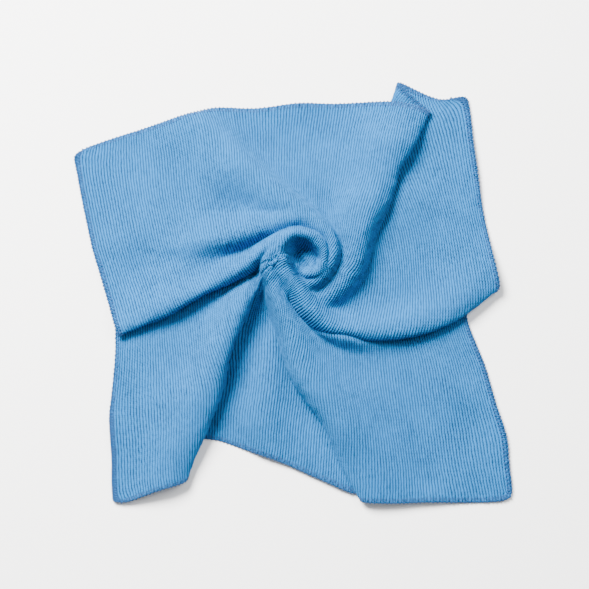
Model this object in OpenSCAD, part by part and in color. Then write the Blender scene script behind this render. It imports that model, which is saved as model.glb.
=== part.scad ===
// Knitted microfibre polishing cloth, lying flat with its middle pinched and
// twisted clockwise into a rosette. Millimetres, +Z up, resting on Z = 0.
// The fabric is one closed solid of the gathered shape: its upper side follows
// the soft rolls that run into the twist, its underside is flat where it lies.
// The three threads of the overlocked edge are solids of their own.

/* [Cloth] */
// Side of the square cloth before it is gathered, mm
cloth_side = 400; // [300:10:450]
// Thickness of the knitted fabric with its pile, mm
cloth_thick = 2.8; // [2:0.1:4]
// Height of the rosette above the surface it lies on, mm
twist_height = 34; // [20:1:45]
// Width of the blend where two rolls meet, mm
crease_soft = 0.9; // [0.5:0.1:2]

/* [Stitched edge] */
// Width of the overlocked edge, mm
hem_w = 5; // [3:0.5:8]
// Height of the two looper threads' cover on the edge, mm
looper_t = 0.8; // [0.4:0.1:1.5]
// Width and height of the line of needle thread, mm
needle_t = 0.9; // [0.5:0.1:1.5]

/* [Fineness] */
// Rings from the middle of the twist to the stitched edge
ring_n = 34; // [16:1:36]
// Longest step along the edge, mm
step_max = 10.5; // [8:0.5:20]

/* [Hidden] */
k = cloth_side/400;
zk = twist_height/34;
fabric_blue = [0.33, 0.58, 0.78];
thread_blue = [0.36, 0.61, 0.80];

// middle of the twist
mid = [18, 27]*k;

// outline of the gathered cloth, round numbers, clockwise from the rounded
// upper left corner: upper edge, right flap, lower right, valley, lower left
outline = [
  [-179, 116], [-172, 121], [-156, 128], [-131, 137], [-106, 147], [-81, 157],
  [-67, 160], [-31, 161], [6, 162], [44, 165], [82, 168], [84, 173], [94, 173],
  [115, 173], [136, 172], [142, 167], [144, 157], [146, 141], [150, 124],
  [153, 107], [157, 91], [160, 74], [164, 57], [169, 41], [172, 24], [175, 6],
  [171, -3], [163, -9], [147, -18], [149, -26], [154, -42], [160, -59],
  [166, -76], [171, -92], [176, -109], [180, -117], [182, -127], [181, -147],
  [180, -167], [173, -170], [131, -171], [90, -172], [52, -173], [35, -167],
  [20, -159], [5, -151], [-8, -142], [-28, -134], [-53, -126], [-70, -120],
  [-73, -128], [-77, -142], [-83, -153], [-90, -159], [-114, -167],
  [-127, -171], [-145, -173], [-151, -167], [-155, -162], [-158, -154],
  [-157, -142], [-155, -126], [-155, -109], [-154, -92], [-153, -76],
  [-153, -59], [-152, -42], [-150, -36], [-152, -26], [-157, -9], [-162, 7],
  [-165, 24], [-169, 41], [-173, 57], [-176, 74], [-180, 91], [-182, 105],
  [-181, 111]];

// Soft rolls, each along its crest from the edge inward:
// [x, y, height, width of the steep side, width of the other side].
// The first number tells which side is steep: 1 left of travel, -1 right.
rolls = [
  // upper left panel's roll over the upper panel, round into the rosette
  [1, [[-78, 146, 4, 12, 25], [-47, 113, 9, 10, 28], [-17, 86, 15, 9, 28],
    [6, 68, 21, 8, 21], [19, 56, 25, 7, 10], [28, 47, 26, 6, 7], [32, 36, 26, 6, 6],
    [30, 24, 24, 6, 6], [23, 13, 22, 6, 6], [13, 9, 19, 6, 6], [4, 11, 15, 6, 6],
    [-1, 16, 8, 5, 5]]],
  // lower crest of the same panel
  [-1, [[-93, 40, 3, 7, 17], [-73, 42, 7, 8, 20], [-50, 46, 12, 8, 20],
    [-25, 54, 18, 8, 18], [-3, 60, 22, 8, 16], [11, 62, 24, 8, 14]]],
  // upper panel over the right flap
  [1, [[109, 151, 7, 12, 25], [81, 107, 9, 11, 25], [57, 57, 13, 11, 25],
    [52, 36, 16, 11, 18], [47, 20, 16, 11, 14], [36, 6, 15, 11, 10],
    [24, -2, 13, 11, 9], [13, -6, 8, 9, 9]]],
  // right flap over the lower right panel, then the inner coil
  [1, [[163, 3, 7, 11, 33], [143, -8, 9, 11, 17], [119, -23, 11, 11, 11],
    [81, -32, 14, 10, 10], [49, -34, 17, 9, 10], [29, -29, 20, 9, 10],
    [13, -16, 24, 9, 10], [3, -1, 27, 9, 10], [-5, 12, 30, 9, 9], [-11, 24, 32, 8, 8],
    [-13, 33, 33, 7, 7], [-10, 42, 34, 6, 7], [-3, 48, 34, 6, 6], [6, 49, 34, 6, 6],
    [15, 46, 33, 5, 6], [22, 39, 31, 5, 6], [25, 30, 29, 4, 5], [23, 21, 27, 4, 5],
    [17, 16, 25, 4, 5], [9, 16, 22, 4, 4], [4, 21, 18, 4, 4], [3, 27, 13, 4, 4]]],
  // lower right panel over the lower valley
  [1, [[59, -168, 3, 10, 33], [16, -95, 8, 10, 25], [-3, -42, 14, 9, 20],
    [-9, -20, 18, 9, 13], [-16, -1, 22, 8, 10], [-21, 13, 25, 7, 8],
    [-22, 24, 28, 7, 7], [-18, 33, 31, 7, 7], [-13, 40, 32, 7, 7]]],
  // ridge in the lower valley
  [1, [[-25, -131, 2, 13, 13], [-32, -105, 6, 12, 12], [-28, -71, 9, 11, 11],
    [-22, -42, 10, 9, 9], [-20, -23, 7, 8, 8]]],
  // lower left panel over the lower valley
  [-1, [[-95, -150, 7, 11, 25], [-81, -115, 8, 10, 25], [-66, -76, 10, 10, 21],
    [-53, -34, 13, 10, 16], [-43, -11, 15, 9, 13], [-35, 3, 15, 8, 10],
    [-28, 12, 12, 8, 8]]],
  // upper left panel over the lower left panel
  [-1, [[-143, -28, 6, 9, 28], [-103, -12, 8, 9, 21], [-74, 2, 12, 9, 13],
    [-53, 16, 17, 9, 10], [-38, 25, 22, 8, 9], [-27, 33, 27, 8, 8], [-17, 41, 31, 7, 7],
    [-8, 46, 33, 6, 6]]],
  // curl in the middle
  [1, [[14, 32, 17, 4, 4], [13, 26, 20, 4, 4], [15, 21, 22, 4, 4], [19, 21, 22, 4, 4]]]];

// Each fold runs from the edge at one angle and turns clockwise on its way in:
// [angle at the edge, [[distance from the middle, turn], ...]], degrees and mm.
folds = [
  [123.5, [[0, -68], [17, -63], [36, -44], [45, -29], [63, -15], [107, -4], [152, 0]]],
  [51.4, [[0, -91], [17, -86], [41, -70], [45, -51], [57, -24], [106, -5], [164, 0]]],
  [-10, [[0, -140], [17, -135], [40, -117], [50, -94], [61, -75], [68, -58], [94, -37],
    [121, -20], [138, -10], [157, 0]]],
  [-80.3, [[0, -100], [17, -98], [42, -82], [49, -69], [55, -53], [72, -36], [124, -15],
    [201, 0]]],
  [-119.5, [[0, -68], [17, -66], [42, -48], [53, -36], [75, -20], [130, -5], [170, -2],
    [207, 0]]],
  [-158.3, [[0, -42], [17, -38], [42, -18], [47, -16], [58, -11], [77, -4], [129, 0]]],
  [-236.5, [[0, -68], [17, -63], [36, -44], [45, -29], [63, -15], [107, -4], [152, 0]]]];

function mix(a, b, t) = a + (b - a)*t;
// turn of the fabric at radius r on the line that reaches the edge at angle a
function turn(a, r) = let(
    u = a > folds[0][0] ? a - 360 : a,
    i = max([for (j = [0:len(folds) - 2]) if (folds[j][0] >= u) j]),
    f = (folds[i][0] - u)/(folds[i][0] - folds[i + 1][0]))
  mix(lookup(r/k, folds[i][1]), lookup(r/k, folds[i + 1][1]), f);
// distance, place along and side of point p against the run a-b
function near(p, a, b) = let(
    d = [b[0] - a[0], b[1] - a[1]], e = [p[0] - a[0], p[1] - a[1]],
    t = max(0, min(1, (e*d)/(d*d))), f = e - t*d)
  [norm(f), t, d[0]*f[1] - d[1]*f[0]];
function first_at(q, m) = [for (j = [0:len(q) - 1]) if (q[j][0] == m) j][0];
// height that one roll gives the fabric at p
function roll_z(p, r) = let(
    c = r[1], n = len(c) - 1,
    q = [for (j = [0:n - 1]) near(p, c[j], c[j + 1])],
    m = min([for (g = q) g[0]]), j = first_at(q, m), t = q[j][1],
    z = mix(c[j][2], c[j + 1][2], t),
    ws = mix(c[j][3], c[j + 1][3], t), wg = mix(c[j][4], c[j + 1][4], t))
  z*(q[j][2]*r[0] > 0 ? sqrt(max(0, 1 - pow(m/ws, 2))) : 1/(1 + pow(m/wg, 3.2)));
// body of the twist under the rolls, with the hollow beside the inner coil
function core_z(p) = let(d = norm(p - [18, 27]), h = norm(p - [7, 35]))
  12*exp(-pow(d/33, 4))*(1 - 0.35*exp(-pow(h/11, 2)));
// upper side of the cloth at p, all rolls blended
function top_z(p) = let(u = p/k, s = crease_soft)
  cloth_thick + zk*k*s*ln(exp(core_z(u)/s)
    + vsum([for (r = rolls) exp(max(0, roll_z(u, r) - cloth_thick)/s) - 1]));
function vsum(v, i = 0) = i >= len(v) ? 0 : v[i] + vsum(v, i + 1);

// edge points, long runs divided evenly
function run(a, b) = let(n = ceil(norm(b - a)/step_max)) [for (j = [0:n - 1]) mix(a, b, j/n)];
edge = [for (i = [0:len(outline) - 1]) each run(outline[i]*k, outline[(i + 1) % len(outline)]*k)];
cols = len(edge);
// point on the line of edge point p, at radius r from the middle
function on_line(p, r) = let(
    d = p - mid, a = atan2(d[1], d[0]), b = a + turn(a, r) - turn(a, norm(d)))
  mid + r*[cos(b), sin(b)];
function inward(p, d) = on_line(p, norm(p - mid) - d);

// distances in from the edge: looper cover, its inner side, needle line
d_loop = 0.6;
d_in = hem_w*0.8;
d_needle = hem_w + needle_t;
edge_d = [hem_w + needle_t, hem_w, d_in, d_loop, 0];
function ring_xy(j) = j <= ring_n
  ? [for (p = edge) on_line(p, (norm(p - mid) - d_needle)*j/ring_n)]
  : [for (p = edge) inward(p, edge_d[j - ring_n])];
rings = ring_n + 4;
xy = [for (j = [1:rings]) ring_xy(j)];
z = [for (row = xy) [for (p = row) top_z(p)]];
z_mid = top_z(mid);

// the looper cover on the rim sets the outer size; the part is centred on it
rim = [for (p = edge) p + (p - mid)*looper_t/norm(p - mid)];
cx = (max([for (p = rim) p[0]]) + min([for (p = rim) p[0]]))/2;
cy = (max([for (p = rim) p[1]]) + min([for (p = rim) p[1]]))/2;

// a closed band round the cloth between two rings, h thick, on the upper side
function row(j, h) = [for (i = [0:cols - 1]) [xy[j - 1][i][0], xy[j - 1][i][1], z[j - 1][i] + h]];
function quad(a, b, c, d) = [[a, b, c], [a, c, d]];
function belt(r0, r1) = [for (i = [0:cols - 1]) let(n = (i + 1) % cols)
  each quad(r0*cols + i, r0*cols + n, r1*cols + n, r1*cols + i)];
module band(inner, outer, h) {
  polyhedron(
    points = concat(row(inner, 0), row(inner, h), row(outer, h), row(outer, 0)),
    faces = concat(belt(0, 1), belt(1, 2), belt(2, 3), belt(3, 0)));
}

module cloth_panel() {
  base = 1 + rings*cols;
  fan = [for (i = [0:cols - 1]) [0, 1 + i, 1 + (i + 1) % cols]];
  skin = [for (j = [0:rings - 2]) for (i = [0:cols - 1]) let(n = (i + 1) % cols,
      a = 1 + j*cols, b = a + cols)
    each [[a + i, b + n, a + n], [a + i, b + i, b + n]]];
  last = 1 + (rings - 1)*cols;
  wall = [for (i = [0:cols - 1]) let(n = (i + 1) % cols)
    each [[last + i, base + i, base + n], [last + i, base + n, last + n]]];
  floor_fan = [for (i = [0:cols - 1]) [base + cols, base + (i + 1) % cols, base + i]];
  color(fabric_blue)
  translate([-cx, -cy, 0])
  polyhedron(
    points = concat(
      [[mid[0], mid[1], z_mid]],
      [for (j = [1:rings]) each row(j, 0)],
      [for (p = edge) [p[0], p[1], 0]],
      [[mid[0], mid[1], 0]]),
    faces = concat(fan, skin, wall, floor_fan));
}

module needle_thread() {
  color(thread_blue)
  translate([-cx, -cy, 0])
  band(ring_n, ring_n + 1, needle_t);
}

module upper_looper_thread() {
  color(thread_blue)
  translate([-cx, -cy, 0])
  band(ring_n + 2, ring_n + 3, looper_t);
}

// this thread wraps the cut edge from below
module lower_looper_thread() {
  lift = 0.3;
  drop = 0.4;
  n = cols;
  color(thread_blue)
  translate([-cx, -cy, 0])
  polyhedron(
    points = concat(
      [for (i = [0:n - 1]) [edge[i][0], edge[i][1], lift]],
      [for (i = [0:n - 1]) [edge[i][0], edge[i][1], z[rings - 1][i] - drop]],
      [for (i = [0:n - 1]) [rim[i][0], rim[i][1], z[rings - 1][i] - drop]],
      [for (i = [0:n - 1]) [rim[i][0], rim[i][1], lift]]),
    faces = concat(belt(0, 1), belt(1, 2), belt(2, 3), belt(3, 0)));
}

cloth_panel();
needle_thread();
upper_looper_thread();
lower_looper_thread();
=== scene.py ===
import math

import bpy
import numpy as np
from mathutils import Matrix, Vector
from mathutils.bvhtree import BVHTree


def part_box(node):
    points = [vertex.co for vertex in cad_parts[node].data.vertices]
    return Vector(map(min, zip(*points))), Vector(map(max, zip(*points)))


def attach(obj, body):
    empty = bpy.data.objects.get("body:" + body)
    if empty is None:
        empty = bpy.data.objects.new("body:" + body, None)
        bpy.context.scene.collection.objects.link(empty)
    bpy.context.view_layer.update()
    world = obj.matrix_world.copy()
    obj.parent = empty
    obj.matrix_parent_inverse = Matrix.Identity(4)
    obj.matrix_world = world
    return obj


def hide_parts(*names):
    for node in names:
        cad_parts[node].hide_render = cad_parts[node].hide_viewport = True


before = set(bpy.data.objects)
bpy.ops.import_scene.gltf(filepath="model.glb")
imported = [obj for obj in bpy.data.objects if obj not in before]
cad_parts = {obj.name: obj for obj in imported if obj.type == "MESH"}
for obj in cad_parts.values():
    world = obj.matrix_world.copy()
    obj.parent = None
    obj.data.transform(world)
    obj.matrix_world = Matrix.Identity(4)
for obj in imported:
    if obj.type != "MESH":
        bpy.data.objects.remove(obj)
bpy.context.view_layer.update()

# A square microfibre cloth lies on a floor with its middle pinched and twisted
# clockwise into a rosette. The cloth and its threads are worked out in millimetres and
# turned into metres by to_frame(). The stage, lights, camera and materials are in metres.

MM = 0.001
HALF = 200.0                # half of the cloth's flat side
CORNER = 10.0               # radius of the cut corners
THICK = 2.7                 # thickness of the knit between its two faces
RIB = 400.0 / 180           # spacing of the knitted ribs
HEM = 4.0                   # width of the overlocked hem
STITCHES = 500              # overlock stitches round the whole edge
ROUND = 8.0 * HALF          # length of the square's edge

EYE = np.array([18.0, 27.0])        # where the twisted middle lies on the floor
PINCH = np.array([0.0, 25.0])       # the point of the flat cloth that was pinched
LOW, MIDDLE, UPPER = 1.4, 4.6, 8.0  # heights of the three layers of a flattened fold
SOFTEN = 22.0                       # how softly a ring turns into the pinched middle
RISE = 1.15                         # how much higher the knit stands than its crests' list
MOUND = (12, 33)                    # height and radius of the low mound under the rosette
HOLLOW = (0.35, 7, 35, 11)          # depth share, x, y and radius of the dip in that mound

# Distances from the eye between which something sets in, from nothing to all of it.
TUCK_ZONE = (50, 92)                # the tucks open up
EDGE_ZONE = (110, 165)              # a tuck gets its width and lean of the edge
LAYER_ZONE = (44, 75)               # a fold's layers come to lie at LOW, MIDDLE and UPPER
FIRM_ZONE = (25, 75)                # the knit stops packing together when it is flattened
EVEN_ZONE = (40, 80)                # small bumps are smoothed away
SWIRL_ZONE = (0.5, 0.9)             # a ring loses its swirl, as a share of the way to the edge

LAYER_GAP = 3                       # from one layer to the next in the rosette
FULL_LIFT = 12                      # a tuck this wide lifts the cloth above it all the way
LIFT_FADE = (6, 26)                 # the lift fades from this far before the tuck's end to past it
SPREAD_LIMITS = (0.6, 62.0)         # least and most flat cloth on each side of a hidden crease
SOFTEST = 0.08                      # firmness of the pinched middle when it is flattened
OPEN, SECOND, THIRD = 0, 1, 2       # layers of the cloth, counted from the top of a fold

# Each crest of the gathered cloth, walked along its ridge: x, y, height, half width of
# its steep side and of its gentle side. The first number says which side is the steep one.
# In order: the ridge C, the roll above fold E, the folds D, B and A, the low ridge between
# A and F, the folds F and E, and the tip inside the eye.
CRESTS = [
    (1, [(-78, 146, 10, 14, 26), (-47, 113, 15, 13, 26), (-17, 86, 20, 11, 22), (6, 68, 23, 10, 16),
         (19, 56, 25, 8, 10), (28, 47, 26, 6, 7), (32, 36, 26, 6, 6), (30, 24, 24, 6, 6),
         (23, 13, 22, 6, 6), (13, 9, 19, 6, 6), (4, 11, 15, 6, 6), (-1, 16, 8, 5, 5)]),
    (-1, [(-96, 38, 7, 9, 15), (-73, 42, 14, 9, 16), (-50, 46, 19, 9, 16), (-25, 54, 22, 8, 14),
          (-3, 60, 24, 8, 12), (11, 62, 22, 8, 8)]),
    (1, [(109, 151, 9, 10, 27), (81, 107, 14, 10, 27), (57, 57, 18, 11, 25), (52, 36, 18, 11, 18),
         (47, 20, 17, 11, 14), (36, 6, 15, 11, 10), (24, -2, 13, 11, 9), (13, -6, 8, 9, 9)]),
    (1, [(163, 3, 9, 11, 33), (143, -8, 12, 12, 20), (119, -23, 13, 12, 15), (81, -32, 16, 11, 12),
         (49, -34, 17, 9, 10), (29, -29, 20, 9, 10), (13, -16, 24, 9, 10), (3, -1, 27, 9, 10),
         (-5, 12, 30, 9, 9), (-11, 24, 32, 8, 8), (-13, 33, 33, 7, 7), (-10, 42, 34, 6, 7),
         (-3, 48, 34, 6, 6), (6, 49, 34, 6, 6), (15, 46, 33, 5, 6), (22, 39, 31, 5, 6),
         (25, 30, 29, 4, 5), (23, 21, 27, 4, 5), (17, 16, 25, 4, 5), (9, 16, 22, 4, 4),
         (4, 21, 18, 4, 4), (3, 27, 13, 4, 4)]),
    (1, [(59, -168, 6, 9, 33), (33, -113, 14, 9, 30), (14, -82, 18, 9, 26), (2, -60, 21, 9, 22),
         (-4, -38, 23, 9, 16), (-10, -18, 22, 8, 11), (-16, -1, 22, 8, 9), (-21, 13, 25, 7, 8),
         (-22, 24, 28, 7, 7), (-18, 33, 31, 7, 7), (-13, 40, 32, 7, 7)]),
    (1, [(-27, -135, 4, 12, 14), (-28, -108, 8, 11, 14), (-25, -80, 9, 10, 12),
         (-22, -55, 7, 9, 9), (-21, -35, 4, 8, 8)]),
    (-1, [(-95, -150, 9, 9, 27), (-81, -115, 14, 10, 27), (-66, -76, 19, 10, 24),
          (-53, -34, 21, 9, 18), (-43, -11, 20, 9, 14), (-35, 3, 15, 8, 10), (-28, 12, 12, 8, 8)]),
    (-1, [(-143, -28, 10, 9, 18), (-103, -12, 15, 9, 14), (-74, 2, 18, 9, 12), (-53, 16, 20, 9, 9),
          (-38, 25, 23, 8, 8), (-27, 33, 27, 8, 8), (-17, 41, 31, 7, 7), (-8, 46, 33, 6, 6)]),
    (1, [(14, 32, 17, 4, 4), (13, 26, 20, 4, 4), (15, 21, 22, 4, 4), (19, 21, 22, 4, 4)]),
]

# The six folds that swirl into the eye: distance from the eye and direction in degrees.
# They were read off the photo as points, so some directions have a decimal.
FOLD_LINES = {
    "C": [(0, 55), (17, 60), (36, 79), (45, 94), (63, 108.4), (107, 119.7), (152, 123.5)],
    "D": [(0, -40), (17, -35), (41, -19), (45, 0), (57, 27.7), (106, 46.3), (164, 51.4)],
    "B": [(0, -150), (17, -145), (40, -127), (50, -104), (61, -85), (68, -68), (94, -47.5),
          (121, -30), (138, -20), (157, -10)],
    "A": [(0, -180), (17, -178), (42, -162), (49, -149), (55, -134), (72, -116.6), (97, -104),
          (116, -95.8), (127, -91.5), (141, -88), (203, -80.3)],
    "F": [(0, -188), (17, -186), (42, -168), (53, -156), (75, -140), (130, -124.8),
          (170, -121.2), (207, -119.5)],
    "E": [(0, -200), (17, -196), (42, -176), (47, -174), (58, -169.3), (77, -162.5),
          (129, -158), (176, -158.3)],
}
# How far the cloth runs back under each fold at the edge and further in, to which side, and
# how far the hidden crease leans towards the eye at the edge.
TUCKS = {
    "D": (48, 38, 1, 2), "B": (33, 31, 1, 0), "A": (13, 17, 1, 0),
    "F": (38, 30, -1, 0), "E": (30, 36, -1, 12),
}

# Stations round the edge, clockwise: plain point, ridge, or part of a tucked fold (outer edge,
# hidden crease, end), the fold, the distance along the flat cloth's edge from its first corner, and x, y.
STATIONS = [
    ("point", "", 0, -190, 122), ("point", "", 50, -134, 141), ("ridge", "C", 119, -68, 163),
    ("point", "", 220, 38, 166),
    ("point", "", 266, 84, 167), ("outer", "D", 306, 119, 155), ("crease", "D", 347, 84, 173),
    ("end", "D", 382, 119, 172), ("point", "", 400, 147, 178), ("point", "", 500, 158, 84),
    ("outer", "B", 571, 175, 2), ("crease", "B", 602, 140, 10), ("end", "B", 631, 146, -17),
    ("point", "", 700, 165, -76), ("point", "", 752, 179, -121), ("point", "", 800, 182, -173),
    ("outer", "A", 914, 52, -173), ("crease", "A", 927, 66, -171), ("end", "A", 940, 50, -168),
    ("point", "", 995, -8, -141), ("end", "F", 1061, -70, -119), ("crease", "F", 1099, -106, -112),
    ("outer", "F", 1137, -86, -153), ("point", "", 1200, -151, -177), ("point", "", 1300, -155, -100),
    ("end", "E", 1342, -150, -38), ("crease", "E", 1392, -150, -5), ("outer", "E", 1442, -146, -40),
    ("point", "", 1520, -169, 41),
]


def smooth(low, high, x):
    """0 below low, 1 above high and an even curve between them."""
    q = np.clip((x - low) / (high - low), 0, 1)
    return q * q * (3 - 2 * q)


def to_polar(p):
    """Distance from the eye and direction in degrees of a point on the floor."""
    return math.hypot(p[0] - EYE[0], p[1] - EYE[1]), math.degrees(math.atan2(p[1] - EYE[1], p[0] - EYE[0]))


def from_polar(r, degrees):
    a = math.radians(degrees)
    return EYE + r * np.array([math.cos(a), math.sin(a)])


# ---- height of the gathered cloth ----------------------------------------------------------

def rounded_path(points, steps=5):
    """A Catmull-Rom curve through the points, with all their columns."""
    pts = np.array(points, float)
    last = len(pts) - 1
    t = np.linspace(0, 1, steps, endpoint=False)[:, None]
    parts = []
    for i in range(last):
        a, b, c, d = pts[max(i - 1, 0)], pts[i], pts[i + 1], pts[min(i + 2, last)]
        parts.append(0.5 * (2 * b + (c - a) * t + (2 * a - 5 * b + 4 * c - d) * t ** 2
                            + (3 * b - a - 3 * c + d) * t ** 3))
    return np.concatenate(parts + [pts[-1:]])


def crest_height(x, y, side, points):
    """Height of one crest over x, y: a rounded wall on its steep side, a slope on the other."""
    path = rounded_path(points)
    start, end = path[:-1], path[1:]
    way = end[:, :2] - start[:, :2]
    length2 = (way * way).sum(1)
    out = np.zeros(x.size)
    block = 8000
    for i in range(0, x.size, block):
        dx = x[i:i + block, None] - start[:, 0]
        dy = y[i:i + block, None] - start[:, 1]
        along = np.clip((dx * way[:, 0] + dy * way[:, 1]) / length2, 0, 1)
        fx, fy = dx - along * way[:, 0], dy - along * way[:, 1]
        far2 = fx * fx + fy * fy
        j = far2.argmin(1)
        row = np.arange(len(j))
        far, t = np.sqrt(far2[row, j]), along[row, j]
        on_left = way[j, 0] * fy[row, j] - way[j, 1] * fx[row, j] > 0
        top, steep, gentle = (start[j, k] + t * (end[j, k] - start[j, k]) for k in (2, 3, 4))
        power = 2.2 - 1.7 * smooth(0.4, 1.3, top / steep)
        wall = np.clip(1 - (far / steep) ** 2, 0, 1) ** power
        slope = 1 / (1 + (far / gentle) ** 3.2)
        out[i:i + block] = RISE * top * np.where(on_left == (side > 0), wall, slope)
    return out


def cloth_height(x, y, softness=0.8):
    """Height of the cloth over x, y: the crests laid over one another, on a low mound."""
    shape = x.shape
    x, y = x.ravel(), y.ravel()
    high, wide = MOUND
    mound = high * np.exp(-(np.hypot(x - EYE[0], y - EYE[1]) / wide) ** 4)
    dip, dip_x, dip_y, dip_wide = HOLLOW
    mound *= 1 - dip * np.exp(-(np.hypot(x - dip_x, y - dip_y) / dip_wide) ** 2)
    total = np.exp(mound / softness)
    for side, points in CRESTS:
        total += np.exp(crest_height(x, y, side, points) / softness) - 1
    return (softness * np.log(total)).reshape(shape)


# ---- the gathered cloth as rings round the eye ---------------------------------------------

def flat_edge(s):
    """Point of the flat square's edge at distance s, clockwise from the first corner."""
    s = np.mod(s, ROUND)
    side = (s // (2 * HALF)).astype(int)
    a = s - side * 2 * HALF
    one = np.full_like(a, HALF)
    return (np.choose(side, [a - HALF, one, HALF - a, -one]),
            np.choose(side, [one, HALF - a, -one, a - HALF]))


def pulled_in(flat_r, short):
    """Distance from the eye of a ring whose middle was drawn in by short."""
    soft = np.log1p(np.exp((flat_r - short) / SOFTEN)) - np.log1p(np.exp(-short / SOFTEN))
    return SOFTEN * soft


def tuck_width(fold, r):
    """How far the cloth runs back under the fold, at the distance r from the eye."""
    rim, inner, _, _ = TUCKS[fold]
    return float(inner * smooth(*TUCK_ZONE, r) + (rim - inner) * smooth(*EDGE_ZONE, r))


def fold_angle(fold, r):
    line = np.array(FOLD_LINES[fold])
    return np.interp(r, line[:, 0], line[:, 1])


def fold_point(fold, r):
    return from_polar(r, fold_angle(fold, r))


def panel_angle(panel, r, part):
    """Direction of a point of the panel between two folds: part 0 at the first, 1 at the last."""
    start = fold_angle(panel[0], r)
    return start - (start - fold_angle(panel[1], r)) % 360 * part


def panel_part(panel, r, angle):
    """The opposite of panel_angle: the part of the way across the panel at that direction."""
    start = fold_angle(panel[0], r)
    return (start - angle) % 360 / ((start - fold_angle(panel[1], r)) % 360)


def ring_stations(t):
    """Where each station lies on the ring at t, from 0 in the middle to 1 at the edge."""
    rows = []
    for kind, fold, s, x, y in STATIONS:
        fx, fy = flat_edge(np.array([float(s)]))
        flat_r = math.hypot(fx[0] - PINCH[0], fy[0] - PINCH[1])
        rim_r, rim_angle = to_polar((x, y))
        short = max(flat_r - rim_r, 5.0)
        r = pulled_in(t * flat_r, short) / pulled_in(flat_r, short) * rim_r
        rows.append({"kind": kind, "fold": fold, "s0": float(s), "r": float(r), "width": 0.0,
                     "rim": (rim_r, rim_angle)})
    part_r = {(q["fold"], q["kind"]): q["r"] for q in rows}
    crease_s = {q["fold"]: q["s0"] for q in rows if q["kind"] == "crease"}
    for q in rows:
        if q["kind"] != "point":
            place_on_fold(q, part_r, crease_s, t)
    place_between(rows)
    return rows


def place_on_fold(q, part_r, crease_s, t):
    """Puts a station on its fold line, and the hidden crease beside it under the cloth."""
    fold, kind = q["fold"], q["kind"]
    if kind == "ridge":
        q["s"], q["p"] = q["s0"], fold_point(fold, q["r"])
        return
    outer_r, end_r = part_r[fold, "outer"], part_r[fold, "end"]
    mean_r = (outer_r + end_r) / 2
    r = {"outer": outer_r, "end": end_r, "crease": mean_r}[kind]
    side, lean = TUCKS[fold][2:]
    width = tuck_width(fold, mean_r)
    p = fold_point(fold, r)
    inward = fold_point(fold, max(r - 3, 0)) - p
    inward = inward / np.linalg.norm(inward)
    if kind == "crease":
        p = p + np.array([inward[1], -inward[0]]) * side * width
        p = p + inward * lean * float(smooth(*EDGE_ZONE, mean_r))
    least, most = SPREAD_LIMITS
    spread = min(max(width, least) / t, most)
    q["s"] = crease_s[fold] + side * spread * {"outer": -1, "crease": 0, "end": 1}[kind]
    q["p"], q["width"] = p, width


def place_between(rows):
    """Spreads the plain stations over the panel between two folds."""
    n = len(rows)
    fixed = [i for i in range(n) if rows[i]["kind"] != "point"]
    for first, last in zip(fixed, fixed[1:] + [fixed[0] + n]):
        a, b = rows[first], rows[last % n]
        panel = (a["fold"], b["fold"])
        wrap = ROUND if last >= n else 0
        part = 0.0
        for i in range(first, last):
            q, following = rows[i % n], rows[(i + 1) % n]
            shift = ROUND if i >= n else 0
            if i > first:
                share = (q["s0"] + shift - a["s0"]) / (b["s0"] + wrap - a["s0"])
                q["s"] = a["s"] + (b["s"] + wrap - a["s"]) * share - shift
                q["p"] = from_polar(q["r"], panel_angle(panel, q["r"], part))
            reached = panel_part(panel, *following["rim"]) if i + 1 < last else 1.0
            q["panel"], q["parts"] = panel, (part, reached)
            part = reached


def is_hidden(a, b):
    return "crease" in (a["kind"], b["kind"])


def ring_points(t, counts):
    """x, y, edge distance, layer and lift of every column of the ring at t."""
    rows = ring_stations(t)
    parts = []
    for i, count in enumerate(counts):
        a, b = rows[i], rows[(i + 1) % len(rows)]
        f = np.arange(count) / count
        hidden = is_hidden(a, b)
        if not hidden:
            f = 0.5 * f + 0.25 * (1 - np.cos(np.pi * f))
        xy = a["p"] + (b["p"] - a["p"]) * f[:, None]
        widest = max(a["width"], b["width"])
        lift = np.full(count, min(1, widest / FULL_LIFT) if hidden else 0.0)
        if not hidden:
            xy = bow(a, b, f, xy, t)
            for e in (a, b):
                if e["kind"] == "outer":
                    far = np.hypot(*(xy - e["p"]).T)
                    before, past = LIFT_FADE
                    near = 1 - smooth(e["width"] - before, e["width"] + past, far)
                    lift = np.maximum(lift, near * min(1, e["width"] / FULL_LIFT))
        s_end = b["s"] + (ROUND if i == len(rows) - 1 else 0)
        layer = OPEN
        if hidden:
            layer = SECOND if "outer" in (a["kind"], b["kind"]) else THIRD
        parts.append((xy[:, 0], xy[:, 1], a["s"] + (s_end - a["s"]) * f, np.full(count, layer), lift))
    return [np.concatenate(column) for column in zip(*parts)]


def bow(a, b, f, chord, t):
    """A panel's ring swirls along with its folds near the eye and runs straight at the edge."""
    (r0, _), (r1, _) = to_polar(a["p"]), to_polar(b["p"])
    r = r0 + (r1 - r0) * f
    part = a["parts"][0] + (a["parts"][1] - a["parts"][0]) * f
    angle = np.radians(panel_angle(a["panel"], r, part))
    arc = EYE + np.stack([r * np.cos(angle), r * np.sin(angle)], -1)
    return arc + (chord - arc) * smooth(*SWIRL_ZONE, t)


def blur_round(row, sigma=1.3):
    """Blurs a closed ring of points along itself."""
    reach = int(3 * sigma) + 1
    weights = np.exp(-0.5 * (np.arange(-reach, reach + 1) / sigma) ** 2)
    weights /= weights.sum()
    return sum(w * np.roll(row, k - reach, axis=0) for k, w in enumerate(weights))


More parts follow.
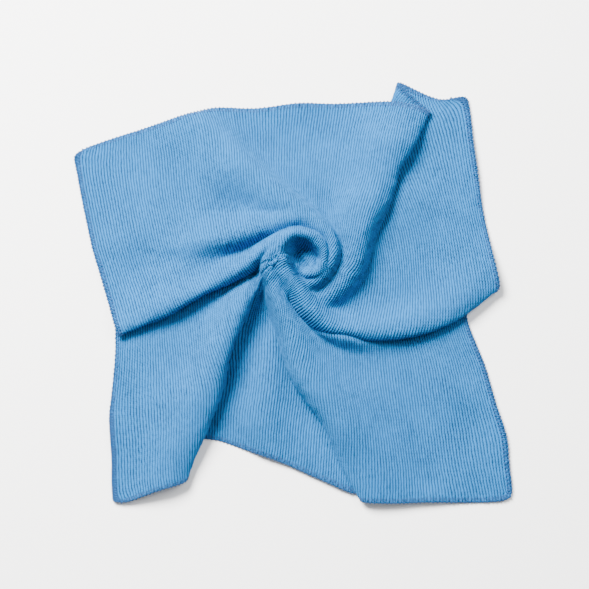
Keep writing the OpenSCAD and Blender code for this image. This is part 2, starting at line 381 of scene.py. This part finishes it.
def gathered_rings(levels=90, step=4.0):
    """Rings of the folded cloth: edge distances (levels, n) and points (levels, n, 3)."""
    rows = ring_stations(0.85)
    counts = []
    for i, a in enumerate(rows):
        b = rows[(i + 1) % len(rows)]
        length = (b["s"] - a["s"]) % ROUND * 0.85
        counts.append(max(8 if is_hidden(a, b) else 4, int(length / step)))
    t = np.linspace(0, 1, levels + 1)[1:]
    x, y, s, layer, lift = np.array([ring_points(q, counts) for q in t]).transpose(1, 0, 2)
    away = smooth(*LAYER_ZONE, np.hypot(x - EYE[0], y - EYE[1]))
    ground = cloth_height(x, y)
    top = np.maximum(ground, (UPPER - LOW) * lift * away) + LOW
    one_down, two_down = LAYER_GAP * lift, 2 * LAYER_GAP * lift
    second = ground + LOW - (one_down + (ground + LOW - MIDDLE - one_down) * away)
    third = ground + LOW - (two_down + (ground - two_down) * away)
    z = np.where(layer == OPEN, top, np.where(layer == SECOND, second, third))
    rings = np.array([blur_round(row) for row in np.stack([x, y, z], -1)])
    return t, s, rings


# ---- flattening: which point of the flat cloth lies where -----------------------------------

def ring_triangles(levels, n):
    """Triangles between rings of n points, with a fan round the point in the middle."""
    i = np.arange(n)
    k = (i + 1) % n
    parts = [np.stack([0 * i, 1 + i, 1 + k], -1)]
    for j in range(levels - 1):
        a, b, c, d = 1 + j * n + i, 1 + j * n + k, 1 + (j + 1) * n + k, 1 + (j + 1) * n + i
        parts += [np.stack([a, d, c], -1), np.stack([a, c, b], -1)]
    return np.concatenate(parts)


class Flattener:
    """As-rigid-as-possible flattening of the gathered surface onto the cut square. The twisted
    middle is the softest part, so the knit that was drawn in packs together there."""

    def __init__(self, points, triangles, held):
        self.tri, self.count, self.free = triangles, len(points), ~held[:, None]
        corner = points[triangles]
        e1, e2 = corner[:, 1] - corner[:, 0], corner[:, 2] - corner[:, 0]
        length = np.linalg.norm(e1, axis=1) + 1e-9
        along = (e2 * e1).sum(1) / length
        rise = np.linalg.norm(e2 - (along / length)[:, None] * e1, axis=1) + 1e-6
        self.local = np.zeros((len(triangles), 3, 2))
        self.local[:, 1, 0] = length
        self.local[:, 2, 0] = along
        self.local[:, 2, 1] = -rise
        centre = corner.mean(1)
        from_eye = np.hypot(centre[:, 0] - EYE[0], centre[:, 1] - EYE[1])
        firmness = SOFTEST + (1 - SOFTEST) * smooth(*FIRM_ZONE, from_eye)
        self.edges, weights = [], []
        for k in range(3):
            b, c = (k + 1) % 3, (k + 2) % 3
            vb, vc = self.local[:, b] - self.local[:, k], self.local[:, c] - self.local[:, k]
            weights.append(np.clip((vb * vc).sum(1) / (length * rise), 0.02, 8) * firmness)
            self.edges.append((b, c))
        self.weights = weights
        self.ia = np.concatenate([triangles[:, b] for b, c in self.edges])
        self.ib = np.concatenate([triangles[:, c] for b, c in self.edges])
        self.w = np.concatenate(weights)
        self.diagonal = (self.sum_at(self.ia, self.w) + self.sum_at(self.ib, self.w))[:, None]

    def sum_at(self, index, values):
        return np.bincount(index, values, self.count)

    def laplace(self, u):
        d = (u[self.ia] - u[self.ib]) * self.w[:, None]
        return np.stack([self.sum_at(self.ia, d[:, k]) - self.sum_at(self.ib, d[:, k])
                         for k in (0, 1)], -1)

    def solve(self, u, target, steps):
        """Conjugate gradients, with the edge of the cloth held."""
        r = (target - self.laplace(u)) * self.free
        z = r / self.diagonal
        p, rz = z.copy(), (r * z).sum(0)
        for _ in range(steps):
            ap = self.laplace(p) * self.free
            a = rz / ((p * ap).sum(0) + 1e-30)
            u, r = u + a * p, r - a * ap
            z = r / self.diagonal
            rz_new = (r * z).sum(0)
            p, rz = z + rz_new / (rz + 1e-30) * p, rz_new
        return u

    def turned_edges(self, u):
        """What the Laplacian should give if each triangle only turned."""
        s = np.zeros((len(self.tri), 2, 2))
        for (b, c), w in zip(self.edges, self.weights):
            du, dx = u[self.tri[:, b]] - u[self.tri[:, c]], self.local[:, b] - self.local[:, c]
            s += w[:, None, None] * du[:, :, None] * dx[:, None, :]
        angle = np.arctan2(s[:, 1, 0] - s[:, 0, 1], s[:, 0, 0] + s[:, 1, 1])
        cos, sin = np.cos(angle), np.sin(angle)
        out = np.zeros((self.count, 2))
        for (b, c), w in zip(self.edges, self.weights):
            dx = self.local[:, b] - self.local[:, c]
            turned = (cos * dx[:, 0] - sin * dx[:, 1], sin * dx[:, 0] + cos * dx[:, 1])
            for k in (0, 1):
                value = turned[k] * w
                out[:, k] += self.sum_at(self.tri[:, b], value) - self.sum_at(self.tri[:, c], value)
        return out

    def run(self, u, first=300, rounds=6, steps=80):
        """Starts from a smooth map, then lets every triangle turn without stretching."""
        u = self.solve(u, np.zeros_like(u), first)
        for _ in range(rounds):
            u = self.solve(u, self.turned_edges(u), steps)
        return u


def corner_part(u, v):
    """How far a point lies past the start of its corner, along u and along v."""
    inner = HALF - CORNER
    return np.clip(np.abs(u) - inner, 0, None), np.clip(np.abs(v) - inner, 0, None)


def scale_corner(u, v, scale):
    inner = HALF - CORNER
    p, q = corner_part(u, v)
    in_corner = (p > 0) & (q > 0)
    return (np.where(in_corner, np.sign(u) * (inner + p * scale), u),
            np.where(in_corner, np.sign(v) * (inner + q * scale), v))


def cut_corner(u, v):
    """Moves points of the square so that its corners are round."""
    p, q = corner_part(u, v)
    return scale_corner(u, v, np.maximum(p, q) / np.maximum(np.hypot(p, q), 1e-9))


def uncut_corner(u, v):
    """The opposite of cut_corner: from the round corners back to the square."""
    p, q = corner_part(u, v)
    return scale_corner(u, v, np.hypot(p, q) / np.maximum(np.maximum(p, q), 1e-9))


def gathered_grid(n):
    """Mid-surface of the gathered cloth on an n by n grid of the flat cloth."""
    t, s, rings = gathered_rings()
    levels, columns, _ = rings.shape
    eye_height = cloth_height(np.array([EYE[0]]), np.array([EYE[1]]))[0] + LOW
    points = np.concatenate([[[EYE[0], EYE[1], eye_height]], rings.reshape(-1, 3)])
    edge = np.stack(flat_edge(s), -1)
    flat = PINCH + (edge - PINCH) * t[:, None, None]
    flat = np.concatenate([[PINCH], flat.reshape(-1, 2)])
    held = np.zeros(len(points), bool)
    held[-columns:] = True
    triangles = ring_triangles(levels, columns)
    flat = Flattener(points, triangles, held).run(flat)
    return sample_flat(points, flat, triangles, n)


def sample_flat(points, flat, triangles, n):
    """Looks up each point of an n by n grid of the flat cloth in the flattened triangles."""
    flat3 = np.concatenate([flat, np.zeros((len(flat), 1))], 1)
    tree = BVHTree.FromPolygons([Vector(p) for p in flat3], triangles.tolist())
    a = np.linspace(-HALF, HALF, n)
    u, v = cut_corner(*np.meshgrid(a, a, indexing="ij"))
    out = np.zeros((n * n, 3))
    for k, (pu, pv) in enumerate(zip(u.ravel().tolist(), v.ravel().tolist())):
        hit, _, index, _ = tree.find_nearest((pu, pv, 0.0))
        corner = triangles[index]
        (ax, ay), (bx, by), (cx, cy) = flat[corner]
        area = (bx - ax) * (cy - ay) - (by - ay) * (cx - ax)
        if abs(area) < 1e-12:
            out[k] = points[corner[0]]
            continue
        wb = ((hit.x - ax) * (cy - ay) - (hit.y - ay) * (cx - ax)) / area
        wc = ((bx - ax) * (hit.y - ay) - (by - ay) * (hit.x - ax)) / area
        out[k] = (1 - wb - wc) * points[corner[0]] + wb * points[corner[1]] + wc * points[corner[2]]
    return out.reshape(n, n, 3)


# ---- fine surface ---------------------------------------------------------------------------

def spline_matrix(n_new, n_old):
    """Catmull-Rom weights that turn n_old samples into n_new."""
    place = np.linspace(0, n_old - 1, n_new)
    j = np.minimum(np.floor(place).astype(int), n_old - 2)
    t = place - j
    weights = [(-t + 2 * t ** 2 - t ** 3) / 2, (2 - 5 * t ** 2 + 3 * t ** 3) / 2,
               (t + 4 * t ** 2 - 3 * t ** 3) / 2, (-t ** 2 + t ** 3) / 2]
    out = np.zeros((n_new, n_old))
    for k, w in enumerate(weights):
        np.add.at(out, (np.arange(n_new), np.clip(j + k - 1, 0, n_old - 1)), w)
    return out


def refine(grid, nu, nv):
    """A finer grid through the points of a coarse one."""
    mu, mv = spline_matrix(nu, grid.shape[0]), spline_matrix(nv, grid.shape[1])
    return np.einsum("ai,bj,ijk->abk", mu, mv, grid, optimize=True)


def soften(grid, rounds=2, weight=0.5):
    """Takes out the small steps of the sampling. weight may differ from point to point."""
    out = grid.copy()
    for _ in range(rounds):
        padded = np.pad(out, ((1, 1), (1, 1), (0, 0)), mode="reflect", reflect_type="odd")
        mean = (padded[:-2, 1:-1] + padded[2:, 1:-1] + padded[1:-1, :-2] + padded[1:-1, 2:]) / 4
        out = out + weight * (mean - out)
    return out


def mend(grid, rounds=60):
    """Evens out only the places where neighbouring points jump about."""
    for _ in range(rounds):
        jump = np.linalg.norm(soften(grid, 1, 1.0) - grid, axis=-1, keepdims=True)
        grid = soften(grid, 1, 0.8 * smooth(0.20, 0.50, soften(jump, 3, 1.0)))
    return grid


def pull_to_length(a, b, rest, stiffness):
    """Moves the ends of many springs towards their rest length. A knit packs together easily,
    so a short spring hardly pushes."""
    way = b - a
    length = np.sqrt((way * way).sum(-1)) + 1e-9
    strain = length - rest
    strain = np.where(strain < 0, 0.06 * strain, strain)
    move = way * (stiffness * 0.5 * strain / length)[..., None]
    a += move
    b -= move


def settle(grid, rounds=40, reach=2.0):
    """Relaxes the knit as a sheet of springs on the floor: every spacing goes towards its cut
    length and bends even out, while no point leaves its place in the fold by more than reach."""
    start, x = grid, grid.copy()
    n = len(grid)
    a = np.linspace(-HALF, HALF, n)
    flat = np.stack(cut_corner(*np.meshgrid(a, a, indexing="ij")), -1)
    pairs = []
    for du, dv, stiffness in ((1, 0, 0.8), (0, 1, 0.8), (1, 1, 0.25), (1, -1, 0.25)):
        first, second = flat[:n - du, max(0, -dv):n - max(0, dv)], flat[du:, max(0, dv):n + min(0, dv)]
        pairs.append((du, dv, stiffness, np.linalg.norm(second - first, axis=-1)))
    for _ in range(rounds):
        for du, dv, stiffness, rest in pairs:
            first, second = x[:n - du, max(0, -dv):n - max(0, dv)], x[du:, max(0, dv):n + min(0, dv)]
            for half in (0, 1):
                cut = (slice(half, None, 2), slice(None)) if du else (slice(None), slice(half, None, 2))
                pull_to_length(first[cut], second[cut], rest[cut], stiffness)
        x = soften(x, 1, 0.12)
        moved = x - start
        far = np.linalg.norm(moved, axis=-1, keepdims=True)
        x = start + moved * np.minimum(1, reach / (far + 1e-9))
        x[..., 2] = np.maximum(x[..., 2], LOW)
    return x


def normals_of(grid):
    normal = np.cross(np.gradient(grid, axis=0), np.gradient(grid, axis=1))
    return normal / (np.linalg.norm(normal, axis=-1, keepdims=True) + 1e-12)


def even_noise(rng, nu, nv, cells, channels):
    """Smooth random values on a grid, from cells by cells random numbers per channel."""
    return refine(rng.standard_normal((cells, cells, channels)), nu, nv)


RIPPLE = 0.9                            # size of the slow random bending of the cloth
RIPPLE_SHARE = np.array([0.7, 0.7, 1.3])    # its share in x, y and z
RIPPLE_CELLS = 14
COARSE = 241
FINE_U, FINE_V = (721, 361)
RNG = np.random.default_rng(7)


def coarse_cloth():
    grid = mend(settle(mend(soften(gathered_grid(COARSE)))))
    from_eye = np.hypot(grid[..., 0] - EYE[0], grid[..., 1] - EYE[1])
    grid = soften(grid, 12, 0.6 * smooth(*EVEN_ZONE, from_eye)[..., None])
    return grid + RIPPLE * RIPPLE_SHARE * even_noise(RNG, COARSE, COARSE, RIPPLE_CELLS, 3)


middle = refine(coarse_cloth(), FINE_U, FINE_V)
middle_normal = normals_of(soften(middle, 4))
U, V = cut_corner(*np.meshgrid(np.linspace(-HALF, HALF, FINE_U), np.linspace(-HALF, HALF, FINE_V),
                               indexing="ij"))


def edge_distance(u, v):
    """How far a point of the flat cloth is from its edge."""
    p, q = corner_part(u, v)
    straight = HALF - np.maximum(np.abs(u), np.abs(v))
    return np.where((p > 0) & (q > 0), CORNER - np.hypot(p, q), straight)


def rib_relief(u, v):
    """Rounded ribs with narrow grooves, each rib a chain of plump loops."""
    across = np.abs(np.cos(np.pi * u / RIB))
    loops = np.cos(2 * np.pi * v / RIB + 1.6 * np.sign(np.sin(2 * np.pi * u / RIB)))
    return 0.6 * (across ** 0.7 - 0.6) + 0.12 * loops


HEM_PRESS = 0.22                # how much thinner the stitched hem is
HEM_FLATNESS = 0.45             # how much of the ribs the stitches press flat
EDGE_ROUNDING = 1.6             # over this width the cut edge gets thinner
PUCKER, PUCKER_LENGTH = 0.16, 7.5
PLUMPNESS, PLUMP_CELLS = 0.14, 90
FUZZ = 0.05


def cloth_faces():
    """Upper and lower face of the cloth in mm, both (FINE_U, FINE_V, 3)."""
    inset = edge_distance(U, V)
    hem = 1 - smooth(HEM - 2.5, HEM + 0.5, inset)
    rounding = np.sqrt(np.clip(inset / EDGE_ROUNDING, 0, 1) * 0.85 + 0.15)
    half = THICK / 2 * (1 - HEM_PRESS * hem) * rounding
    pucker = PUCKER * hem * np.cos(2 * np.pi * (U + V) / PUCKER_LENGTH)
    plump = PLUMPNESS * even_noise(RNG, FINE_U, FINE_V, PLUMP_CELLS, 1)[..., 0]
    fuzz = FUZZ * RNG.standard_normal((FINE_U, FINE_V))
    relief = rib_relief(U, V) * (1 - HEM_FLATNESS * hem) + pucker + plump + fuzz
    back = rib_relief(U + RIB / 2, V) * (1 - HEM_FLATNESS * hem) - pucker + plump
    return (middle + middle_normal * (half + relief)[..., None],
            middle - middle_normal * (half + back)[..., None])


# ---- meshes ---------------------------------------------------------------------------------

BOX_LOW, BOX_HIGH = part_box("cloth_panel")
FLOOR_Z = BOX_LOW[2]


def to_frame(points):
    """Millimetres round the middle of the cloth's CAD box to metres in the row frame."""
    p = np.asarray(points, float).reshape(-1, 3) * MM
    p[:, 0] += (BOX_LOW[0] + BOX_HIGH[0]) / 2
    p[:, 1] += (BOX_LOW[1] + BOX_HIGH[1]) / 2
    p[:, 2] = np.maximum(p[:, 2] + FLOOR_Z, FLOOR_Z)
    return p


def new_object(name, vertices, quads, uv=None):
    """A smooth mesh object of quads, with uv per vertex in the layer called cut."""
    mesh = bpy.data.meshes.new(name)
    mesh.vertices.add(len(vertices))
    mesh.vertices.foreach_set("co", np.asarray(vertices, np.float32).ravel())
    mesh.loops.add(quads.size)
    mesh.loops.foreach_set("vertex_index", quads.astype(np.int32).ravel())
    mesh.polygons.add(len(quads))
    mesh.polygons.foreach_set("loop_start", np.arange(0, quads.size, 4, dtype=np.int32))
    mesh.update(calc_edges=True)
    mesh.validate()
    mesh.polygons.foreach_set("use_smooth", np.ones(len(mesh.polygons), bool))
    if uv is not None:
        layer = mesh.uv_layers.new(name="cut")
        layer.data.foreach_set("uv", uv[quads.ravel()].astype(np.float32).ravel())
    obj = bpy.data.objects.new(name, mesh)
    bpy.context.scene.collection.objects.link(obj)
    return obj


def grid_quads(nu, nv, offset=0):
    index = np.arange(nu * nv).reshape(nu, nv) + offset
    return np.stack([index[:-1, :-1], index[1:, :-1], index[1:, 1:], index[:-1, 1:]], -1).reshape(-1, 4)


def rim_indices(nu, nv):
    """Indices of a grid's outermost points, in order round it."""
    index = np.arange(nu * nv).reshape(nu, nv)
    return np.concatenate([index[:-1, 0], index[-1, :-1], index[:0:-1, -1], index[0, :0:-1]])


def build_cloth():
    """One closed mesh of the two faces and the band along the cut edge."""
    upper, lower = cloth_faces()
    count = FINE_U * FINE_V
    vertices = to_frame(np.concatenate([upper.reshape(-1, 3), lower.reshape(-1, 3)]))
    rim = rim_indices(FINE_U, FINE_V)
    following = np.roll(rim, -1)
    band = np.stack([following, rim, rim + count, following + count], -1)
    under = grid_quads(FINE_U, FINE_V, count)[:, ::-1]
    quads = np.concatenate([grid_quads(FINE_U, FINE_V), under, band])
    cut = np.stack([U, V], -1).reshape(-1, 2) * MM
    return new_object("cloth", vertices, quads, np.concatenate([cut, cut]))


# ---- overlock threads -----------------------------------------------------------------------

TUBE_SIDES = 6
NEEDLE_RADIUS, LOOP_RADIUS = 0.30, 0.36
SKIN = THICK / 2 * (1 - HEM_PRESS)      # half the thickness of the stitched hem


def hem_line(s, inset):
    """Flat point at distance s (0 to 1) round the cloth, inset from its edge."""
    inset = np.maximum(inset, 0)
    straight = 2 * (HALF - CORNER)
    bend = math.pi / 2 * CORNER
    lap = 4 * (straight + bend)
    d = np.mod(s, 1) * lap
    side = np.minimum((d // (straight + bend)).astype(int), 3)
    d = d - side * (straight + bend)
    on_straight = d < straight
    a = np.where(on_straight, 0, (d - straight) / CORNER)
    radius = CORNER - inset
    x = np.where(on_straight, d - straight / 2, straight / 2 + radius * np.sin(a))
    y = np.where(on_straight, HALF - inset, HALF - CORNER + radius * np.cos(a))
    turn = -side * math.pi / 2
    return x * np.cos(turn) - y * np.sin(turn), x * np.sin(turn) + y * np.cos(turn)


def on_surface(grid, u, v):
    """Value of a fine grid at a flat point, blended between its samples."""
    u, v = uncut_corner(u, v)
    a = np.clip((u + HALF) / (2 * HALF) * (FINE_U - 1), 0, FINE_U - 1.001)
    b = np.clip((v + HALF) / (2 * HALF) * (FINE_V - 1), 0, FINE_V - 1.001)
    i, j = a.astype(int), b.astype(int)
    fa, fb = (a - i)[:, None], (b - j)[:, None]
    return ((grid[i, j] * (1 - fa) + grid[i + 1, j] * fa) * (1 - fb)
            + (grid[i, j + 1] * (1 - fa) + grid[i + 1, j + 1] * fa) * fb)


def hem_points(s, inset, height):
    """Points of a thread: inset from the edge (negative is outside) and above the mid-surface."""
    at = on_surface(middle, *hem_line(s, inset))
    rim = on_surface(middle, *hem_line(s, 0 * s))
    inner = on_surface(middle, *hem_line(s, 0 * s + 3))
    out = rim - inner
    out /= np.linalg.norm(out, axis=-1, keepdims=True) + 1e-9
    normal = on_surface(middle_normal, *hem_line(s, inset))
    normal /= np.linalg.norm(normal, axis=-1, keepdims=True) + 1e-9
    return at + out * np.maximum(-inset, 0)[:, None] + normal * height[:, None]


def closed_tube(points, radius):
    """Vertices and quads of a tube through a closed run of points."""
    ahead = np.roll(points, -1, axis=0) - np.roll(points, 1, axis=0)
    ahead /= np.linalg.norm(ahead, axis=1, keepdims=True) + 1e-12
    up = np.tile([0.0, 0.0, 1.0], (len(points), 1))
    across = np.cross(ahead, up) + 1e-6
    across /= np.linalg.norm(across, axis=1, keepdims=True)
    up = np.cross(across, ahead)
    angle = np.arange(TUBE_SIDES) / TUBE_SIDES * 2 * math.pi
    ring = across[:, None] * np.cos(angle)[None, :, None] + up[:, None] * np.sin(angle)[None, :, None]
    vertices = points[:, None] + ring * radius
    n = len(points)
    i = np.arange(n)[:, None] * TUBE_SIDES
    k = np.arange(TUBE_SIDES)[None, :]
    following, turn = (i + TUBE_SIDES) % (n * TUBE_SIDES), (k + 1) % TUBE_SIDES
    quads = np.stack([i + k, following + k, following + turn, i + turn], -1).reshape(-1, 4)
    return vertices.reshape(-1, 3), quads


def thread_path(steps, inset_at, height_at):
    """Points of one thread, with steps points to a stitch and a slight wander."""
    phase = np.arange(STITCHES * steps) / steps
    wander = 0.12 * np.sin(phase * 1.7) + 0.08 * np.sin(phase * 0.61 + 2)
    part = phase % 1
    inset = inset_at(part) + wander
    height = height_at(part, inset)
    return hem_points(phase / STITCHES, inset, height)


def build_threads():
    """The three threads of the overlock seam, each one closed run round the cloth."""
    def swing(part):
        return HEM / 2 - 0.15 + (HEM / 2 + 0.15) * np.cos(2 * math.pi * part)

    def over(part, inset):
        return (SKIN + 0.34) * np.sqrt(np.clip((inset + 0.95) / 1.6, 0, 1))

    def under(part, inset):
        return -over(part, inset)

    def straight(part):
        return np.full_like(part, HEM - 0.1)

    def dip(part, inset):
        return SKIN + 0.55 - 1.1 * np.exp(-((part - 0.5) / 0.16) ** 2)

    runs = {"needle_run": (straight, dip, NEEDLE_RADIUS, 8),
            "upper_loops": (swing, over, LOOP_RADIUS, 12),
            "lower_loops": (swing, under, LOOP_RADIUS, 12)}
    out = {}
    for name, (inset_at, height_at, radius, steps) in runs.items():
        path = thread_path(steps, inset_at, height_at)
        vertices, quads = closed_tube(path, radius)
        length = np.arange(len(path)).repeat(TUBE_SIDES) / steps
        around = np.tile(np.arange(TUBE_SIDES) / TUBE_SIDES, len(path))
        out[name] = new_object(name, to_frame(vertices), quads, np.stack([length, around], -1))
    return out


# ---- materials ------------------------------------------------------------------------------

class Nodes:
    """Small helper that adds shader nodes and links them by name."""

    def __init__(self, name):
        self.material = bpy.data.materials.new(name)
        self.material.use_nodes = True
        self.tree = self.material.node_tree
        self.tree.nodes.clear()

    def add(self, kind, inputs=(), **settings):
        node = self.tree.nodes.new(kind)
        for key, value in settings.items():
            setattr(node, key, value)
        for key, value in dict(inputs).items():
            if isinstance(value, bpy.types.NodeSocket):
                self.tree.links.new(value, node.inputs[key])
            else:
                node.inputs[key].default_value = value
        return node

    def math(self, operation, a, b=0.0):
        return self.add("ShaderNodeMath", {0: a, 1: b}, operation=operation).outputs[0]

    def noise(self, vector, scale, detail=3.0, roughness=0.6):
        node = self.add("ShaderNodeTexNoise", {"Vector": vector, "Scale": scale, "Detail": detail,
                                               "Roughness": roughness})
        return node.outputs["Fac"]

    def spread(self, value, low, high, to_low, to_high):
        return self.add("ShaderNodeMapRange", {"Value": value, "From Min": low, "From Max": high,
                                               "To Min": to_low, "To Max": to_high}).outputs[0]

    def finish(self, shader):
        self.add("ShaderNodeOutputMaterial", {"Surface": shader})
        return self.material


def microfibre():
    """Ribbed blue knit: plump ribs, loops along each rib and a soft nap, with painted shade in its colour:
    dark in the grooves and between the loops, light on the rib tops.
    """
    k = Nodes("microfibre")
    cut = k.add("ShaderNodeUVMap", uv_map="cut").outputs["UV"]
    place = k.add("ShaderNodeTexCoord").outputs["Object"]
    axes = k.add("ShaderNodeSeparateXYZ", {"Vector": cut})
    wobble = k.spread(k.noise(cut, 160.0, 2.0), 0.25, 0.75, -0.16, 0.16)
    ribs = k.math("ADD", k.math("MULTIPLY", axes.outputs["X"], 1000 / RIB), wobble)
    rows = k.math("MULTIPLY", axes.outputs["Y"], 1000 / RIB)
    across = k.math("ABSOLUTE", k.math("COSINE", k.math("MULTIPLY", ribs, math.pi)))
    lean = k.math("MULTIPLY", k.math("PINGPONG", ribs, 0.5), 1.6)
    along = k.math("ABSOLUTE", k.math("COSINE", k.math("MULTIPLY", k.math("ADD", rows, lean), math.pi)))
    nap = k.noise(place, 1500.0, 4.0, 0.7)
    tufts = k.noise(place, 420.0, 3.0, 0.6)
    broad = k.noise(place, 34.0, 3.0, 0.55)
    # Painted shade: this is light on the rib tops and dark in the grooves, and along is dark between the
    # loops. Both set the colour as the knit's shade would, and they also drive the bump below.
    painted_rib_shading = k.spread(across, 0.0, 0.8, 0.0, 1.0)
    knit_relief_and_shade = k.math("ADD", k.math("MULTIPLY", painted_rib_shading, 0.55), k.math("MULTIPLY", along, 0.45))
    tone = k.math("ADD", k.math("MULTIPLY", knit_relief_and_shade, 0.60), k.math("MULTIPLY", tufts, 0.40))
    tone = k.math("ADD", tone, k.math("MULTIPLY", broad, 0.18))
    # The ramp runs from the painted shade of the grooves to the painted light of the rib tops. The tufts
    # and broad noise add random tone of the knit itself.
    ramp = k.add("ShaderNodeValToRGB", {"Fac": tone})
    ramp.color_ramp.elements[0].position = 0.46
    ramp.color_ramp.elements[0].color = (0.0040, 0.0070, 0.019, 1.0)
    ramp.color_ramp.elements[1].position = 0.86
    ramp.color_ramp.elements[1].color = (0.0120, 0.150, 0.400, 1.0)
    height = k.math("ADD", k.math("MULTIPLY", knit_relief_and_shade, 0.55), k.math("MULTIPLY", nap, 0.28))
    height = k.math("ADD", height, k.math("MULTIPLY", tufts, 0.5))
    bump = k.add("ShaderNodeBump", {"Height": height, "Strength": 0.8, "Distance": 0.0008})
    shader = k.add("ShaderNodeBsdfPrincipled", {
        "Base Color": ramp.outputs["Color"], "Roughness": k.spread(nap, 0.2, 0.8, 0.82, 0.98),
        "Specular IOR Level": 0.05, "Sheen Weight": 0.06, "Sheen Roughness": 0.5,
        "Sheen Tint": (0.20, 0.50, 0.90, 1.0), "Normal": bump.outputs["Normal"]})
    return k.finish(shader.outputs["BSDF"])


def thread_material():
    """Textured polyester yarn: fine twist along the thread with fuzzy colour changes."""
    k = Nodes("overlock_yarn")
    cut = k.add("ShaderNodeUVMap", uv_map="cut").outputs["UV"]
    axes = k.add("ShaderNodeSeparateXYZ", {"Vector": cut})
    place = k.add("ShaderNodeTexCoord").outputs["Object"]
    turn = k.math("ADD", k.math("MULTIPLY", axes.outputs["X"], 7.0), axes.outputs["Y"])
    twist = k.math("ABSOLUTE", k.math("SINE", k.math("MULTIPLY", turn, math.pi)))
    fuzz = k.noise(place, 1300.0, 4.0, 0.7)
    tone = k.math("ADD", k.math("MULTIPLY", twist, 0.45), k.math("MULTIPLY", fuzz, 0.55))
    ramp = k.add("ShaderNodeValToRGB", {"Fac": tone})
    ramp.color_ramp.elements[0].position = 0.15
    ramp.color_ramp.elements[0].color = (0.0010, 0.0065, 0.024, 1.0)
    ramp.color_ramp.elements[1].position = 0.80
    ramp.color_ramp.elements[1].color = (0.0155, 0.090, 0.265, 1.0)
    bump = k.add("ShaderNodeBump", {"Height": tone, "Strength": 0.6, "Distance": 0.0002})
    shader = k.add("ShaderNodeBsdfPrincipled", {
        "Base Color": ramp.outputs["Color"], "Roughness": k.spread(fuzz, 0.2, 0.8, 0.7, 0.9),
        "Specular IOR Level": 0.1, "Sheen Weight": 0.1, "Normal": bump.outputs["Normal"]})
    return k.finish(shader.outputs["BSDF"])


def floor_material():
    """Pale, nearly even floor."""
    k = Nodes("studio_floor")
    place = k.add("ShaderNodeTexCoord").outputs["Object"]
    grain = k.noise(place, 60.0, 2.0)
    shader = k.add("ShaderNodeBsdfPrincipled", {
        "Base Color": (0.96, 0.96, 0.96, 1.0), "Roughness": k.spread(grain, 0.3, 0.7, 0.85, 0.95)})
    return k.finish(shader.outputs["BSDF"])


# ---- stage, light and camera ----------------------------------------------------------------

VIEW_TILT = 9.0             # degrees between the view and straight down
VIEW_DISTANCE = 1.9
VIEW_WIDTH = 0.4906         # what the picture's width spans at the cloth
SENSOR = 36.0
FLOOR_REACH = 6.0
FLOOR_DROP = 0.0004         # keeps the floor clear of the cloth's underside
WORLD_STRENGTH = 0.48


def add_light(name, place, target, size, power, color):
    data = bpy.data.lights.new(name, "AREA")
    data.shape = "DISK"
    data.size = size
    data.energy = power
    data.color = color
    lamp = bpy.data.objects.new(name, data)
    lamp.location = place
    lamp.rotation_euler = (Vector(target) - Vector(place)).to_track_quat("-Z", "Y").to_euler()
    bpy.context.scene.collection.objects.link(lamp)


def build_stage():
    corners = FLOOR_REACH * np.array([(-1, -1, 0), (1, -1, 0), (1, 1, 0), (-1, 1, 0)], float)
    corners[:, 2] = FLOOR_Z - FLOOR_DROP
    floor = new_object("studio_floor", corners, np.array([[0, 1, 2, 3]]))
    floor.data.materials.append(floor_material())
    world = bpy.data.worlds.new("studio")
    world.use_nodes = True
    world.node_tree.nodes["Background"].inputs["Color"].default_value = (1.0, 1.0, 1.0, 1.0)
    world.node_tree.nodes["Background"].inputs["Strength"].default_value = WORLD_STRENGTH
    bpy.context.scene.world = world
    aim = (0.0, 0.0, 0.01)
    add_light("key", (-0.75, 1.0, 1.35), aim, 1.0, 236.0, (1.0, 0.99, 0.97))
    add_light("fill", (1.0, 0.6, 1.6), aim, 1.0, 25.0, (0.97, 0.98, 1.0))


def build_camera():
    data = bpy.data.cameras.new("camera")
    data.sensor_width = SENSOR
    data.lens = SENSOR * VIEW_DISTANCE / VIEW_WIDTH
    camera = bpy.data.objects.new("camera", data)
    tilt = math.radians(VIEW_TILT)
    target = Vector((0.0, 0.0, FLOOR_Z + 0.008))
    camera.location = target + VIEW_DISTANCE * Vector((0.0, -math.sin(tilt), math.cos(tilt)))
    camera.rotation_euler = (target - camera.location).to_track_quat("-Z", "Y").to_euler()
    bpy.context.scene.collection.objects.link(camera)
    bpy.context.scene.camera = camera


cloth = build_cloth()
cloth.data.materials.append(microfibre())
threads = build_threads()
yarn = thread_material()
for thread in threads.values():
    thread.data.materials.append(yarn)

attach(cloth, "root")
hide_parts("cloth_panel")
for piece, node in (("needle_run", "needle_thread"), ("upper_loops", "upper_looper_thread"),
                    ("lower_loops", "lower_looper_thread")):
    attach(threads[piece], "root")
    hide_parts(node)

build_stage()
build_camera()
